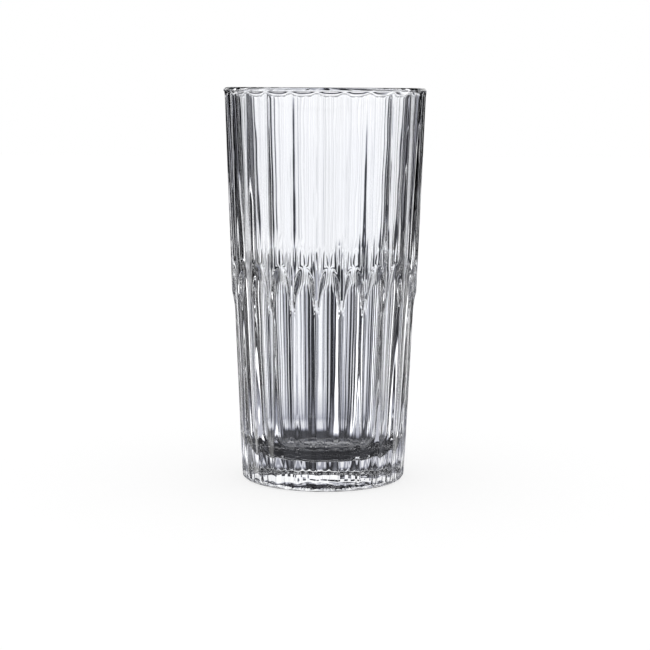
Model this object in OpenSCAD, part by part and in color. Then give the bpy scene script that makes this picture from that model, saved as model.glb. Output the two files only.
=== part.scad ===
/* [Overall size] */
// Height from the table to the top of the rim
height = 138; // [128:1:150]
// Outside diameter of the lip
rim_diameter = 71.2; // [67:0.2:78]
// Outside diameter of the upper band at the height where the lower flutes start to run out
waist_diameter = 65.2; // [63:0.2:68]
// Outside diameter across the lower ridges at the table
foot_diameter = 58; // [54:0.2:61]

/* [Glass thickness] */
// Wall thickness at the rim
rim_wall = 2.6; // [2.2:0.1:3.2]
// Wall thickness across the lower ridges where they start to run out
waist_wall = 4.5; // [4:0.1:5]
// Wall thickness across the ridges at the level of the inside floor
heel_wall = 6; // [5:0.25:7]
// Thickness of the floor under the drink
floor_thickness = 9; // [7:0.5:12]
// Radius of the round between the inside wall and the inside floor
inside_fillet = 10; // [6:0.5:14]

/* [Foot] */
// Radius of the round at the outside edge of the foot
foot_round = 1.8; // [1.6:0.1:2.4]
// Diameter of the hollow under the glass, inside the ring that it stands on
hollow_diameter = 46; // [40:1:50]
// Depth of that hollow in the middle
hollow_depth = 1.5; // [0.8:0.1:2.5]

/* [Upper flutes] */
// Number of flutes around the glass, the same in both bands
flute_count = 24; // [20:2:28]
// How far the lip stands out past the ridges of the upper band
lip_proud = 0.2; // [0.1:0.05:0.3]
// Height of the plain lip above the flutes
lip_height = 1.4; // [1:0.1:3]
// Depth of the groove in an upper flute, below the flat of its two lands
upper_groove = 0.18; // [0.12:0.03:0.3]
// Width of the land between two upper flutes, at the rim
upper_land = 1.4; // [1:0.1:2]
// Length over which an upper flute fades out below the lip
upper_fade = 3; // [2:0.25:4]

/* [Lower flutes] */
// How far the lower ridges lie inside the line of the upper band
step_in = 1; // [0.8:0.05:1.4]
// Depth of the groove in a lower flute, below the flat of its two lands
lower_groove = 0.75; // [0.5:0.05:1.1]
// Width of the land between two lower flutes, at the foot
lower_land = 0.6; // [0.4:0.1:1.2]
// Height where the lower flutes start to run out into arches
arch_start = 58; // [50:1:64]
// Radius of the curve on which the lower flutes run out
runout_radius = 90; // [60:5:150]

/* [Hidden] */

// Segments of a full circle in previews
$fn = 144;
// Overshoot of a cut past the surface that it leaves
clear = 1;

rim_r = rim_diameter / 2;
waist_r = waist_diameter / 2;
foot_r = foot_diameter / 2;
half_pitch = 180 / flute_count;
// Share of a ridge radius at which the flat between two ridges lies
flat_share = cos(half_pitch);

// Outside line of the upper band, as the lip continues it
upper_slope = (rim_r - waist_r) / (height - arch_start);
upper_lean = atan(upper_slope);

// Outside of the body at the table before the flutes, and the widest that the body gets
outer_foot_r = foot_r + step_in;
outer_max_r = max(rim_r, waist_r, outer_foot_r);

// Line of the lower ridges
ridge_start_r = waist_r - step_in;
ridge_slope = (ridge_start_r - foot_r) / arch_start;

// Half width of a flute's cut, and its reach from the flat of its lands to outside the body
cut_half = outer_max_r * sin(half_pitch) + clear;
cut_reach = outer_max_r - min(foot_r, ridge_start_r) * flat_share + clear;

// Inside line of the wall, in two parts that meet behind the start of the run-out
inner_rim_r = rim_r - rim_wall;
inner_waist_r = ridge_start_r - waist_wall;
inner_floor_r = foot_r + ridge_slope * floor_thickness - heel_wall;
inner_slope = (inner_rim_r - inner_waist_r) / (height - arch_start);
inner_lean = atan(inner_slope);
inner_foot_lean = atan((inner_waist_r - inner_floor_r) / (arch_start - floor_thickness));

// Round rim that touches the inside line, the outside line and the full height
rim_round = rim_wall / (1 / cos(upper_lean) + 1 / cos(inner_lean) + upper_slope - inner_slope);
rim_centre = [rim_r - upper_slope * rim_round - rim_round / cos(upper_lean), height - rim_round];
rim_outer_touch = rim_centre + rim_round * [cos(upper_lean), -sin(upper_lean)];
rim_inner_touch = rim_centre + rim_round * [-cos(inner_lean), sin(inner_lean)];

// Ball that hollows the underside
hollow_r = hollow_diameter / 2;
hollow_ball = arc_radius(hollow_r, hollow_depth);

// Upper flutes: flat of the lands, radius of the groove across the flute
upper_flat_r = (waist_r - lip_proud) * flat_share;
upper_flat_lean = atan(upper_slope * flat_share);
upper_groove_r = arc_radius(rim_r * sin(half_pitch) - upper_land / 2, upper_groove);
upper_length = height - arch_start;

// Lower flutes
lower_flat_r = ridge_start_r * flat_share;
lower_flat_lean = atan(ridge_slope * flat_share);
lower_groove_r = arc_radius(foot_r * sin(half_pitch) - lower_land / 2, lower_groove);
lower_length = arch_start / cos(lower_flat_lean) + clear;
// The run-out sweeps until the cut lies outside the wall, also where the wall leans out more
runout_rise = step_in + lower_groove + clear + max(0, upper_slope - ridge_slope) * upper_length;
runout_angle = acos(1 - runout_rise / runout_radius);

// Radius of the arc over a chord of the given half width and rise
function arc_radius(half, rise) = (pow(half, 2) + pow(rise, 2)) / (2 * rise);

// Corner between a level line and a wall that leans outward, less the round that stays there
module corner_outside_round(corner, lean, radius) {
    reach = radius / tan((90 + lean) / 2);
    centre = corner + [-reach, radius];
    difference() {
        polygon([
            corner,
            corner - [reach, 0],
            centre,
            corner + reach * [sin(lean), cos(lean)],
        ]);
        translate(centre) circle(r = radius);
    }
}

// Half section of the outside, filled to the axis, before the flutes
module outside_section() {
    difference() {
        polygon([
            [0, 0],
            [outer_foot_r, 0],
            [waist_r, arch_start],
            rim_outer_touch,
            rim_inner_touch,
            [0, rim_inner_touch[1]],
        ]);
        translate([0, hollow_depth - hollow_ball]) circle(r = hollow_ball);
    }
}

// Half section of the space for the drink
module cavity_section() {
    corner = [inner_floor_r, floor_thickness];
    difference() {
        polygon([
            [0, floor_thickness],
            corner,
            [inner_waist_r, arch_start],
            [inner_rim_r + inner_slope * clear, height + clear],
            [0, height + clear],
        ]);
        corner_outside_round(corner, inner_foot_lean, inside_fillet);
    }
}

// Wall, floor and rim in one turned body, before the flutes
module turned_body() {
    rotate_extrude() {
        difference() {
            outside_section();
            cavity_section();
        }
        translate(rim_centre) circle(r = rim_round);
    }
}

// Section across one flute's cut, with x outward from the flat of the lands
module flute_section(groove_r, groove) {
    translate([0, -cut_half]) square([cut_reach, 2 * cut_half]);
    intersection() {
        translate([groove_r - groove, 0]) circle(r = groove_r);
        translate([-groove - clear, -cut_half]) square([groove + clear + cut_reach, 2 * cut_half]);
    }
}

// Space below the slope on which an upper flute fades out under the lip
module below_fade() {
    top = upper_length - lip_height;
    depth = lip_proud + rim_r * (1 - flat_share) + upper_groove;
    slope = upper_fade / depth;
    inner = min(rim_r, waist_r) * flat_share - lip_proud - upper_groove - clear;
    outer = outer_max_r + clear;
    rotate([90, 0, 0])
        linear_extrude(2 * cut_half + clear, center = true)
            polygon([
                [inner, -clear],
                [outer, -clear],
                [outer, top + slope * (outer - rim_r)],
                [inner, top + slope * (inner - rim_r)],
            ]);
}

// One upper flute, up from the height of the arches: a shallow groove between two flat lands,
// which fades out below the lip
module upper_flute() {
    intersection() {
        translate([upper_flat_r, 0, 0])
            rotate([0, upper_flat_lean, 0])
                linear_extrude(upper_length)
                    flute_section(upper_groove_r, upper_groove);
        below_fade();
    }
}

// One lower flute, on the same level: a deep groove up from the foot, whose top curves out of
// the wall as an arch
module lower_flute() {
    translate([lower_flat_r, 0, 0])
        rotate([0, lower_flat_lean, 0]) {
            translate([0, 0, -lower_length])
                linear_extrude(lower_length)
                    flute_section(lower_groove_r, lower_groove);
            translate([runout_radius, 0, 0])
                rotate([90, 0, 180])
                    rotate_extrude(angle = runout_angle)
                        translate([runout_radius, 0])
                            mirror([1, 0])
                                flute_section(lower_groove_r, lower_groove);
        }
}

// Every second flute, from the given one on
module flutes(first) {
    translate([0, 0, arch_start])
        for (i = [first : 2 : flute_count - 1])
            rotate([0, 0, i * 360 / flute_count]) {
                upper_flute();
                lower_flute();
            }
}

// Ring that takes the sharp edge off the foot
module foot_edge() {
    centre = [foot_r - foot_round, foot_round];
    rotate_extrude()
        difference() {
            translate([centre[0], -clear]) square([foot_round + cut_reach, foot_round + clear]);
            translate(centre) circle(r = foot_round);
        }
}

// The whole glass, pressed in one piece
module tumbler() {
    color([0.86, 0.9, 0.94, 0.45])
        difference() {
            difference() {
                turned_body();
                flutes(0);
            }
            flutes(1);
            foot_edge();
        }
}

tumbler();
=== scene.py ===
"""Looks of a tall clear pressed-glass tumbler: fluted glass, a white table and a lit tent."""
import math

import bpy
import numpy as np
from mathutils import Matrix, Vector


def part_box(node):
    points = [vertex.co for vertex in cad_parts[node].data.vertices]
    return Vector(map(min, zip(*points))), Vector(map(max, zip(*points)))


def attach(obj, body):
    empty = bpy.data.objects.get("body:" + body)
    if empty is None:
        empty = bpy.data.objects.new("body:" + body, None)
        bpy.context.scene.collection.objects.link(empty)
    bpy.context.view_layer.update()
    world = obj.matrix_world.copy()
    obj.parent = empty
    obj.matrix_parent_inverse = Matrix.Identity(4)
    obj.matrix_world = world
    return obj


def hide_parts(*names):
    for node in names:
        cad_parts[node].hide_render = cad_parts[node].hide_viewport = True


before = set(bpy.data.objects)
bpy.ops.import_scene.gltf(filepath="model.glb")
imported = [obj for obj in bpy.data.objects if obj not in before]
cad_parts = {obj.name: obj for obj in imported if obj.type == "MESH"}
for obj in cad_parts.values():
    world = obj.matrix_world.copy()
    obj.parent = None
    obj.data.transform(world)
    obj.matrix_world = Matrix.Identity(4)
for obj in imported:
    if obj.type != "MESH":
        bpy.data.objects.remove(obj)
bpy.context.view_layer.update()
glass_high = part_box("tumbler")[1]
MM = 0.001

# Overall sizes, from the frame, in millimetres
HEIGHT = glass_high.z / MM
RIM_R = glass_high.x / MM

# Outside lines
WAIST_R = 32.6
WAIST_Z = 58.0
FOOT_R = 29.0

# Glass thickness
RIM_WALL = 2.6
WAIST_WALL = 4.5
HEEL_WALL = 6.0
FLOOR = 9.0
INSIDE_FILLET = 10.0

# Foot
FOOT_ROUND = 1.8
HOLLOW_R = 23.0
HOLLOW_DEPTH = 1.5
KNURL_COUNT = 96
KNURL_DEPTH = 0.3
KNURL_INNER_R = 23.6
KNURL_OUTER_R = 26.6

# Flutes in each band, and the share of a flute's half width at which its curve stops, past its edge
FLUTES = 24
FLUTE_END = 1.5

# Upper flutes
LIP_PROUD = 0.2
LIP_HEIGHT = 1.4
UPPER_FADE = 3.0
UPPER_GROOVE = 0.45
UPPER_LAND = 1.4
UPPER_POWER = 3.0
UPPER_SOFT = 0.15

# Lower flutes
STEP_IN = 1.0
LOWER_GROOVE = 0.75
LOWER_LAND = 0.6
LOWER_POWER = 2.0
LOWER_SOFT = 0.3
ARCH_START = 60.0
ARCH_RISE = 11.0
RUNOUT_R = 30.0
ARCH_SOFT = 0.15
# Share of the run-out's radius at which its curve stops, outside the wall
RUNOUT_END = 0.9

# Mesh density: columns in one flute and how much they crowd towards its ridges
FLUTE_COLUMNS = 24
CROWDING = 0.5
# Rows of each part of the section, from the underside to the inside floor
HOLLOW_ROWS = 8
KNURL_ROWS = 8
FOOT_ROWS = 10
LOWER_ROWS = 11
ARCH_ROWS = 63
UPPER_ROWS = 7
LIP_ROWS = 19
RIM_ROWS = 13
INSIDE_ROWS = 13
FILLET_ROWS = 11
FLOOR_ROWS = 4
# Height where the close rows of the arches end, and how far below the rim those of the lip start
ARCH_ROWS_TOP = 84.0
LIP_ROWS_DEPTH = 4.0
# Share of the radius at which the first and the last ring lie around the axis
POLE_SHARE = 0.02

PITCH = 2 * math.pi / FLUTES
HALF = PITCH / 2
UPPER_SLOPE = (RIM_R - WAIST_R) / (HEIGHT - WAIST_Z)
RIDGE_START_R = WAIST_R - STEP_IN
RIDGE_SLOPE = (RIDGE_START_R - FOOT_R) / WAIST_Z
INNER_RIM_R = RIM_R - RIM_WALL
INNER_FLOOR_R = FOOT_R + RIDGE_SLOPE * FLOOR - HEEL_WALL
INNER_WAIST_R = RIDGE_START_R - WAIST_WALL
INNER_LEAN = math.atan((INNER_WAIST_R - INNER_FLOOR_R) / (WAIST_Z - FLOOR))


def arc_radius(half, rise):
    """Radius of the arc over a chord of the given half width and rise."""
    return (half**2 + rise**2) / (2 * rise)


def soft_min(a, b, width):
    """The lesser of two values, with the corner between them rounded over the given width."""
    h = np.clip(0.5 + 0.5 * (b - a) / width, 0, 1)
    return b * (1 - h) + a * h - width * h * (1 - h)


def flute_depth(across, half_width, depth, power, soft):
    """Depth of a flute at a distance across it: a broad floor, steep flanks and rounded edges."""
    share = np.clip(np.abs(across) / half_width, 0, FLUTE_END)
    return -soft_min(-depth * (1 - share**power), 0 * share, soft)


def upper_radius(angle, z):
    """Radius of the upper band: shallow flutes that fade out under the plain lip."""
    line = RIM_R - UPPER_SLOPE * (HEIGHT - z)
    half_width = RIM_R * HALF - UPPER_LAND / 2
    depth = flute_depth(angle * RIM_R, half_width, UPPER_GROOVE, UPPER_POWER, UPPER_SOFT)
    down = np.clip((HEIGHT - LIP_HEIGHT - z) / UPPER_FADE, 0, 1)
    return line - (LIP_PROUD + depth) * np.sqrt(1 - (1 - down) ** 2)


def lower_radius(angle, z):
    """Radius of the lower band: deep flutes whose arched tops run out of the wall on a curve."""
    ridge = FOOT_R + RIDGE_SLOPE * z
    half_width = FOOT_R * HALF - LOWER_LAND / 2
    across = angle * ridge
    share = np.clip(np.abs(across) / half_width, 0, 1)
    arch = ARCH_START + ARCH_RISE * np.sqrt(1 - share**2)
    rise = np.clip(z - arch, 0, RUNOUT_END * RUNOUT_R)
    runout = RUNOUT_R - np.sqrt(RUNOUT_R**2 - rise**2)
    return ridge + runout - flute_depth(across, half_width, LOWER_GROOVE, LOWER_POWER, LOWER_SOFT)


def inside_radius(z):
    """Radius of the smooth inside wall, in two straight parts that meet behind the arches."""
    return np.interp(z, [FLOOR, WAIST_Z, HEIGHT], [INNER_FLOOR_R, INNER_WAIST_R, INNER_RIM_R])


def outside_radius(angle, z):
    """Radius of the fluted outside at an angle from the middle of the nearest flute."""
    return soft_min(upper_radius(angle, z), lower_radius(angle, z), ARCH_SOFT)


def column_angles():
    """Angles of the mesh columns around the glass, and the same from the nearest flute's middle."""
    u = np.arange(FLUTE_COLUMNS) / FLUTE_COLUMNS
    local = PITCH * (u - 0.5 - CROWDING * np.sin(2 * math.pi * u) / (2 * math.pi))
    around = np.concatenate([local + i * PITCH for i in range(FLUTES)])
    return around, np.tile(local, FLUTES)


def steps_after(start, end, count):
    """Equal steps from one value to another, without the first value."""
    return np.linspace(start, end, count + 1)[1:]


def glass_rings():
    """Rings of (radius, height) from the middle of the underside to that of the inside floor."""
    around, local = column_angles()
    flat = np.zeros_like(around)
    rings = []

    def add(radius, z):
        rings.append((radius + flat, z + flat))

    # Hollow under the glass and the knurled ring that it stands on
    ball = arc_radius(HOLLOW_R, HOLLOW_DEPTH)
    for share in np.linspace(POLE_SHARE, 1, HOLLOW_ROWS):
        r = HOLLOW_R * share
        add(r, HOLLOW_DEPTH - ball + math.sqrt(ball**2 - r**2))
    knurl = KNURL_DEPTH * (0.5 - 0.5 * np.cos(KNURL_COUNT * around))
    foot_in = FOOT_R - FOOT_ROUND
    for r in np.linspace(HOLLOW_R, foot_in, KNURL_ROWS + 2)[1:-1]:
        inner_edge = (r - HOLLOW_R) / (KNURL_INNER_R - HOLLOW_R)
        outer_edge = (foot_in - r) / (foot_in - KNURL_OUTER_R)
        edge = min(inner_edge, outer_edge, 1)
        add(r, knurl * math.sin(edge * math.pi / 2) ** 2)

    # Rounded foot, cut by the flutes
    for turn in np.linspace(0, math.pi / 2, FOOT_ROWS):
        z = FOOT_ROUND * (1 - math.cos(turn))
        round_r = foot_in + FOOT_ROUND * math.sin(turn)
        add(soft_min(round_r + flat, outside_radius(local, z), LOWER_SOFT), z)

    # Fluted wall, with close rows where the arches and the lip are
    lip = HEIGHT - RIM_WALL / 2
    rows = [
        steps_after(FOOT_ROUND, ARCH_START, LOWER_ROWS),
        steps_after(ARCH_START, ARCH_ROWS_TOP, ARCH_ROWS),
        steps_after(ARCH_ROWS_TOP, HEIGHT - LIP_ROWS_DEPTH, UPPER_ROWS),
        steps_after(HEIGHT - LIP_ROWS_DEPTH, lip, LIP_ROWS),
    ]
    for z in np.concatenate(rows):
        add(outside_radius(local, z + flat), z)

    # Round rim
    rim_round = RIM_WALL / 2
    rim_mid = RIM_R - rim_round
    for turn in steps_after(0, math.pi, RIM_ROWS):
        add(rim_mid + rim_round * math.cos(turn), lip + rim_round * math.sin(turn))

    # Inside wall, the round at its foot and the inside floor
    reach = INSIDE_FILLET / math.tan((math.pi / 2 + INNER_LEAN) / 2)
    mid_r = INNER_FLOOR_R - reach
    mid_z = FLOOR + INSIDE_FILLET
    touch_z = mid_z - INSIDE_FILLET * math.sin(INNER_LEAN)
    for z in steps_after(lip, touch_z, INSIDE_ROWS):
        add(inside_radius(z), z)
    for turn in steps_after(-INNER_LEAN, -math.pi / 2, FILLET_ROWS):
        add(mid_r + INSIDE_FILLET * math.cos(turn), mid_z + INSIDE_FILLET * math.sin(turn))
    for share in steps_after(1, POLE_SHARE, FLOOR_ROWS):
        add(mid_r * share, FLOOR)
    return around, rings


def make_glass():
    """The tumbler as one closed mesh of rings, with a fan at each end."""
    around, rings = glass_rings()
    columns = len(around)
    points = [np.stack([r * np.sin(around), -r * np.cos(around), z], -1) for r, z in rings]
    under = len(rings) * columns
    points.append(np.array([[0, 0, HOLLOW_DEPTH], [0, 0, FLOOR]]))
    here = np.arange(columns)
    after = (here + 1) % columns
    quads = []
    for row in range(len(rings) - 1):
        a, b = row * columns, (row + 1) * columns
        quads.append(np.stack([a + here, a + after, b + after, b + here], -1))
    last = (len(rings) - 1) * columns
    fans = [
        np.stack([np.full(columns, under), after, here], -1),
        np.stack([np.full(columns, under + 1), last + here, last + after], -1),
    ]
    mesh = bpy.data.meshes.new("tumbler_glass")
    faces = np.concatenate(quads).tolist() + np.concatenate(fans).tolist()
    mesh.from_pydata((np.concatenate(points) * MM).tolist(), [], faces)
    mesh.shade_smooth()
    mesh.update()
    piece = bpy.data.objects.new("tumbler_glass", mesh)
    bpy.context.scene.collection.objects.link(piece)
    return piece


# Body of the glass: refraction, and the colours that its faint tint drifts between
GLASS_IOR = 1.52
TINT_SCALE = 25
TINT_DETAIL = 1
TINT = [(0.3, (0.962, 0.97, 0.99)), (0.7, (0.982, 0.986, 0.996))]
# Haze on its skin: values of the noise between which it comes up, and the roughness there
HAZE_SCALE = 160
HAZE_DETAIL = 3
HAZE_NOISE = (0.45, 0.75)
HAZE_ROUGHNESS = (0.0, 0.03)
# Waves in its skin: their scale across, how much longer they are up the wall, and their depth
WAVE_SCALE = 70.0
WAVE_DETAIL = 2
WAVE_LENGTH = 3.0
WAVE_DEPTH = 0.0004


def link_noise(tree, scale, detail, length=1.0):
    """Noise in the glass's own coordinates, drawn out along its axis. Returns its value."""
    where = tree.nodes.new("ShaderNodeTexCoord")
    stretch = tree.nodes.new("ShaderNodeMapping")
    stretch.inputs["Scale"].default_value = (1, 1, 1 / length)
    made = tree.nodes.new("ShaderNodeTexNoise")
    made.inputs["Scale"].default_value = scale
    made.inputs["Detail"].default_value = detail
    tree.links.new(where.outputs["Object"], stretch.inputs["Vector"])
    tree.links.new(stretch.outputs[0], made.inputs["Vector"])
    return made.outputs[0]


def glass_material():
    """Clear soda-lime glass with a faint cool tint and a slightly wavy, fire-polished skin."""
    material = bpy.data.materials.new("clear_glass")
    material.use_nodes = True
    tree = material.node_tree
    shader = tree.nodes["Principled BSDF"]
    shader.inputs["Transmission Weight"].default_value = 1
    shader.inputs["IOR"].default_value = GLASS_IOR
    tint = link_ramp(tree, link_noise(tree, TINT_SCALE, TINT_DETAIL), (0, 1), TINT)
    tree.links.new(tint, shader.inputs["Base Color"])
    haze = link_noise(tree, HAZE_SCALE, HAZE_DETAIL)
    haze = link_range(tree, haze, HAZE_NOISE, HAZE_ROUGHNESS)
    tree.links.new(haze, shader.inputs["Roughness"])
    waves = tree.nodes.new("ShaderNodeBump")
    waves.inputs["Strength"].default_value = 1
    waves.inputs["Distance"].default_value = WAVE_DEPTH
    height = link_noise(tree, WAVE_SCALE, WAVE_DETAIL, WAVE_LENGTH)
    tree.links.new(height, waves.inputs["Height"])
    tree.links.new(waves.outputs[0], shader.inputs["Normal"])
    return material


# Camera, as the photograph was taken
CAMERA_TURN = math.radians(3.2)
CAMERA_DISTANCE = 0.6395
CAMERA_HEIGHT = 0.138
CAMERA_PITCH = math.radians(7.456)
CAMERA_ROLL = math.radians(0.35)
CAMERA_YAW = math.radians(0.043)
SENSOR = 36.0
# Focal length as a share of the picture's width
FOCAL_SHARE = 1815 / 650
CLIP_START = 0.01


def make_camera():
    """A long lens at the height of the rim, pitched down to the middle of the picture."""
    data = bpy.data.cameras.new("camera")
    data.sensor_width = SENSOR
    data.lens = FOCAL_SHARE * SENSOR
    data.clip_start = CLIP_START
    camera = bpy.data.objects.new("camera", data)
    camera.matrix_world = (
        Matrix.Rotation(-CAMERA_TURN, 4, "Z")
        @ Matrix.Translation((0, -CAMERA_DISTANCE, CAMERA_HEIGHT))
        @ Matrix.Rotation(-CAMERA_YAW, 4, "Z")
        @ Matrix.Rotation(math.pi / 2 - CAMERA_PITCH, 4, "X")
        @ Matrix.Rotation(CAMERA_ROLL, 4, "Z")
    )
    bpy.context.scene.collection.objects.link(camera)
    bpy.context.scene.camera = camera


# Studio: a white table and, for the glass alone to see, a round tent with dark flags
BOUNCES = 5
# Half width of the table, its own glow, and the grey of its paint, on which the shadow shows
TABLE_HALF = 3.0
TABLE_GLOW = 0.72
TABLE_PAINT = 0.3
# Radius and height of the tent, and the steps around it
TENT_R = 0.9
TENT_TOP = 0.8
TENT_STEPS = 96
# Radius of the hole in the middle of the tent's floor and roof
TENT_HOLE = 0.001
# Depths of the table and of the tent's floor below the foot, so that no two faces share a plane
TABLE_DROP = 0.0001
TENT_DROP = 0.00005
# Greys of the far part of the tent, then of the table near the glass, at each angle in degrees to
# the right of the middle of the tent's window
FAR_GREYS = [
    (-160, 0.15), (-154, 0.6), (-80, 0.5), (-74, 0.005), (-48, 0.005), (-46, 0.6),
    (-42, 0.6), (-40, 0.005), (-16, 0.005), (-13.5, 0.75), (-10, 1.15), (-6.5, 1.1),
    (-5, 0.7), (-3.5, 1.15), (2, 1.15), (3.5, 0.8), (5, 1.15), (10, 1.15),
    (13, 0.75), (15.5, 0.005), (42, 0.005), (44, 0.6), (48, 0.6), (50, 0.005),
    (74, 0.005), (80, 0.5), (154, 0.6), (160, 0.15),
]
NEAR_GREYS = [
    (-160, 0.15), (-154, 0.45), (-116, 0.45), (-108, 0.01), (-92, 0.01), (-89, 1.8),
    (-76, 1.8), (-73, 0.01), (-59, 0.01), (-56, 1.8), (-45, 1.8), (-42, 0.01),
    (-16, 0.01), (-13.5, 0.75), (-10, 1.15), (2, 1.15), (3.5, 0.5), (8, 0.45),
    (10, 1.1), (13, 0.75), (15.5, 0.01), (31, 0.01), (34, 1.8), (44, 1.8),
    (47, 0.01), (72, 0.01), (75, 1.7), (88, 1.7), (92, 0.01), (116, 0.45),
    (154, 0.45), (160, 0.15),
]
# Angles of the full circle
CIRCLE = (-180, 180)
# Distances, out along the table and up the tent, between which the near greys give way to the far
# ones, and how many degrees the window stands to the left at each
FAR = (0.5, 0.7)
WINDOW_LEFT = (14.0, -2.0)
# Heights between which the flags give way to a white sky
SKY = (0.16, 0.2)
# Heights between which the sky goes dark, and the share of it that is left below and above
DARK_TOP = (0.4, 0.45)
DARK_SHARE = (1, 0.01)
# Angles and heights of a dark flag in the sky, which draws dashes under the lip
FLAG_TURN = [(-16, 0.0), (-13, 1.0), (5, 1.0), (8, 0.0)]
FLAG_RISE = [(0.2, 0.0), (0.24, 1.0), (0.3, 1.0), (0.33, 0.0)]
# Share of the greys that is left on the table behind the foot, at each distance. It paints the
# glass's shadow on the table: near black under the foot, where the glass's own shade falls.
PAINTED_FOOT_SHADOW = [
    (0.0, 0.05), (0.02, 0.05), (0.036, 0.03), (0.042, 0.8), (0.055, 0.8), (0.07, 0.5), (0.16, 1.0),
]
PAINTED_FOOT_SHADOW_SPAN = (0, 0.2)
# Angles off the window's middle, and distances, between which the greys come up again in full
FOOT_SIDE = (20, 45)
FOOT_SIDE_REACH = (0.03, 0.036)
# Least grey of the table there, and the distances between which it ends
FILL_GREY = 0.6
FILL_REACH = (0.1, 0.15)
# Colour of a middle grey in the tent
TENT_GREY = (0.45, 0.46, 0.53)


def bare_material(name):
    """A material with nothing but its output, its node tree and the output's surface socket."""
    material = bpy.data.materials.new(name)
    material.use_nodes = True
    tree = material.node_tree
    tree.nodes.clear()
    return material, tree, tree.nodes.new("ShaderNodeOutputMaterial").inputs["Surface"]


def link_math(tree, operation, first, second=0.0):
    """A math node on two sockets or numbers. Returns its result."""
    made = tree.nodes.new("ShaderNodeMath")
    made.operation = operation
    for socket, source in zip(made.inputs, (first, second)):
        if isinstance(source, (int, float)):
            socket.default_value = source
        else:
            tree.links.new(source, socket)
    return made.outputs[0]


def link_range(tree, value, span, result):
    """A straight change from one number to another over a span of values, level outside it."""
    made = tree.nodes.new("ShaderNodeMapRange")
    for socket, number in zip(made.inputs[1:5], (*span, *result)):
        socket.default_value = number
    tree.links.new(value, made.inputs["Value"])
    return made.outputs["Result"]


def link_ramp(tree, value, span, stops):
    """A colour ramp over a span of values, from (value, colour) stops. Returns its colour."""
    made = tree.nodes.new("ShaderNodeValToRGB")
    elements = made.color_ramp.elements
    for index, (at, colour) in enumerate(stops):
        position = (at - span[0]) / (span[1] - span[0])
        stop = elements[index] if index < 2 else elements.new(position)
        stop.position = position
        stop.color = (*colour, 1)
    tree.links.new(link_range(tree, value, span, (0, 1)), made.inputs[0])
    return made.outputs["Color"]


def link_greys(tree, value, span, stops):
    """A ramp of greys over a span of values, from (value, grey) stops. Returns its grey."""
    return link_ramp(tree, value, span, [(at, (grey, grey, grey)) for at, grey in stops])


def make_floor():
    """A wide white table, which shows white to the camera and keeps the shadow of the glass."""
    half = TABLE_HALF
    corners = [(-half, -half, 0), (half, -half, 0), (half, half, 0), (-half, half, 0)]
    mesh = bpy.data.meshes.new("floor")
    mesh.from_pydata(corners, [], [(0, 1, 2, 3)])
    floor = bpy.data.objects.new("floor", mesh)
    floor.location.z = -TABLE_DROP
    bpy.context.scene.collection.objects.link(floor)
    material, tree, surface = bare_material("white_table")
    light = tree.nodes.new("ShaderNodeLightPath").outputs
    seen = link_math(tree, "MAXIMUM", light["Is Camera Ray"], light["Is Glossy Ray"])
    seen = link_math(tree, "MAXIMUM", seen, light["Is Transmission Ray"])
    glow = tree.nodes.new("ShaderNodeEmission")
    tree.links.new(link_math(tree, "MULTIPLY", seen, TABLE_GLOW), glow.inputs["Strength"])
    paint = tree.nodes.new("ShaderNodeBsdfDiffuse")
    paint.inputs["Color"].default_value = (TABLE_PAINT, TABLE_PAINT, TABLE_PAINT, 1)
    both = tree.nodes.new("ShaderNodeAddShader")
    tree.links.new(glow.outputs[0], both.inputs[0])
    tree.links.new(paint.outputs[0], both.inputs[1])
    tree.links.new(both.outputs[0], surface)
    mesh.materials.append(material)


def make_world():
    """Even white light from all around."""
    world = bpy.data.worlds.new("studio")
    world.use_nodes = True
    world.node_tree.nodes["Background"].inputs["Color"].default_value = (1, 1, 1, 1)
    bpy.context.scene.world = world


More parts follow.
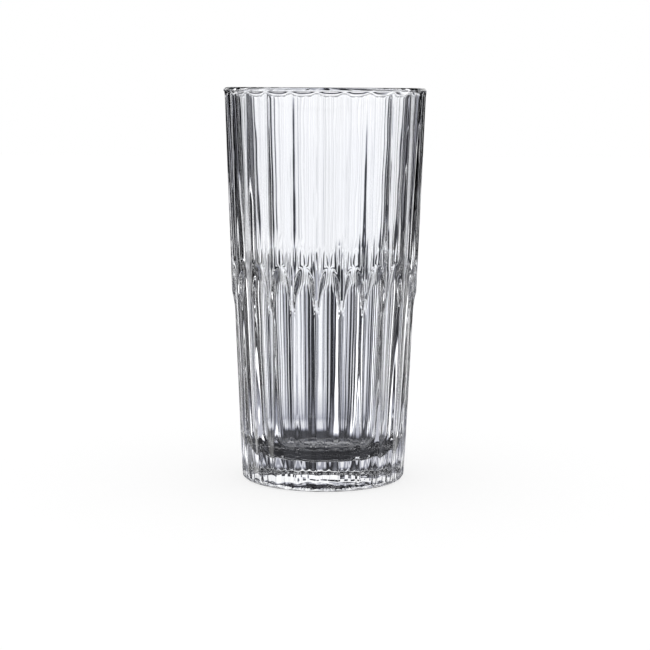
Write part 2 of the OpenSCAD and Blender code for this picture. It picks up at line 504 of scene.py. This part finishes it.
def tent_material():
    """Grey cloth that glows by compass angle, by height and by distance from the foot."""
    material, tree, surface = bare_material("tent_cloth")
    where = tree.nodes.new("ShaderNodeTexCoord")
    split = tree.nodes.new("ShaderNodeSeparateXYZ")
    tree.links.new(where.outputs["Object"], split.inputs[0])
    x, y, z = split.outputs
    compass = link_math(tree, "DEGREES", link_math(tree, "ARCTAN2", x, y))
    square = [link_math(tree, "POWER", part, 2) for part in (x, y)]
    reach = link_math(tree, "SQRT", link_math(tree, "ADD", *square))
    along = link_math(tree, "ADD", reach, z)

    # Near and far greys around the window
    turn = link_math(tree, "ADD", compass, link_range(tree, along, FAR, WINDOW_LEFT))
    share = link_range(tree, along, FAR, (0, 1))
    near = link_greys(tree, turn, CIRCLE, NEAR_GREYS)
    near = link_math(tree, "MULTIPLY", near, link_math(tree, "SUBTRACT", 1, share))
    far = link_math(tree, "MULTIPLY", link_greys(tree, turn, CIRCLE, FAR_GREYS), share)
    grey = link_math(tree, "ADD", near, far)

    # Sky, its dark top and the flag in it
    grey = link_math(tree, "MAXIMUM", grey, link_range(tree, z, SKY, (0, 1)))
    grey = link_math(tree, "MULTIPLY", grey, link_range(tree, z, DARK_TOP, DARK_SHARE))
    flag = link_greys(tree, compass, CIRCLE, FLAG_TURN)
    flag = link_math(tree, "MULTIPLY", flag, link_greys(tree, z, (0, TENT_TOP), FLAG_RISE))
    grey = link_math(tree, "MULTIPLY", grey, link_math(tree, "SUBTRACT", 1, flag))

    # Table around the foot, with the painted shadow of the glass under it
    side = link_range(tree, link_math(tree, "ABSOLUTE", turn), FOOT_SIDE, (0, 1))
    side = link_math(tree, "MULTIPLY", side, link_range(tree, reach, FOOT_SIDE_REACH, (0, 1)))
    # Painted shadow: the greys drop nearly to black under the foot and stay lower behind it, but
    # come up in full at the sides
    fade = link_greys(tree, reach, PAINTED_FOOT_SHADOW_SPAN, PAINTED_FOOT_SHADOW)
    grey = link_math(tree, "MULTIPLY", grey, link_math(tree, "MAXIMUM", fade, side))
    fill = link_range(tree, reach, FILL_REACH, (FILL_GREY, 0))
    grey = link_math(tree, "MAXIMUM", grey, link_math(tree, "MULTIPLY", side, fill))

    colour = link_ramp(tree, grey, (0, 1), [(0, (0, 0, 0)), (0.5, TENT_GREY), (1, (1, 1, 1))])
    glow = tree.nodes.new("ShaderNodeEmission")
    tree.links.new(colour, glow.inputs["Color"])
    tree.links.new(link_math(tree, "MAXIMUM", grey, 1), glow.inputs["Strength"])
    tree.links.new(glow.outputs[0], surface)
    return material


def make_tent():
    """A closed drum around the glass, which only its reflections and refractions see."""
    profile = [(TENT_HOLE, 0.0), (TENT_R, 0.0), (TENT_R, TENT_TOP), (TENT_HOLE, TENT_TOP)]
    here = np.arange(TENT_STEPS)
    after = (here + 1) % TENT_STEPS
    turns = here * 2 * math.pi / TENT_STEPS
    flat = np.zeros(TENT_STEPS)
    points = [np.stack([r * np.sin(turns), r * np.cos(turns), z + flat], -1) for r, z in profile]
    band = np.stack([here, after, after + TENT_STEPS, here + TENT_STEPS], -1)
    faces = [band + row * TENT_STEPS for row in range(len(profile) - 1)]
    mesh = bpy.data.meshes.new("tent")
    mesh.from_pydata(np.concatenate(points).tolist(), [], np.concatenate(faces).tolist())
    mesh.materials.append(tent_material())
    tent = bpy.data.objects.new("tent", mesh)
    tent.location.z = -TENT_DROP
    tent.rotation_euler.z = -CAMERA_TURN
    bpy.context.scene.collection.objects.link(tent)
    tent.visible_camera = False
    tent.visible_diffuse = False
    tent.visible_shadow = False


make_camera()
glass = make_glass()
glass.data.materials.append(glass_material())
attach(glass, "root")
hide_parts("tumbler")
make_floor()
make_world()
make_tent()

scene = bpy.context.scene
scene.view_settings.view_transform = "Standard"
scene.cycles.max_bounces = BOUNCES
scene.cycles.transmission_bounces = BOUNCES
scene.cycles.glossy_bounces = BOUNCES
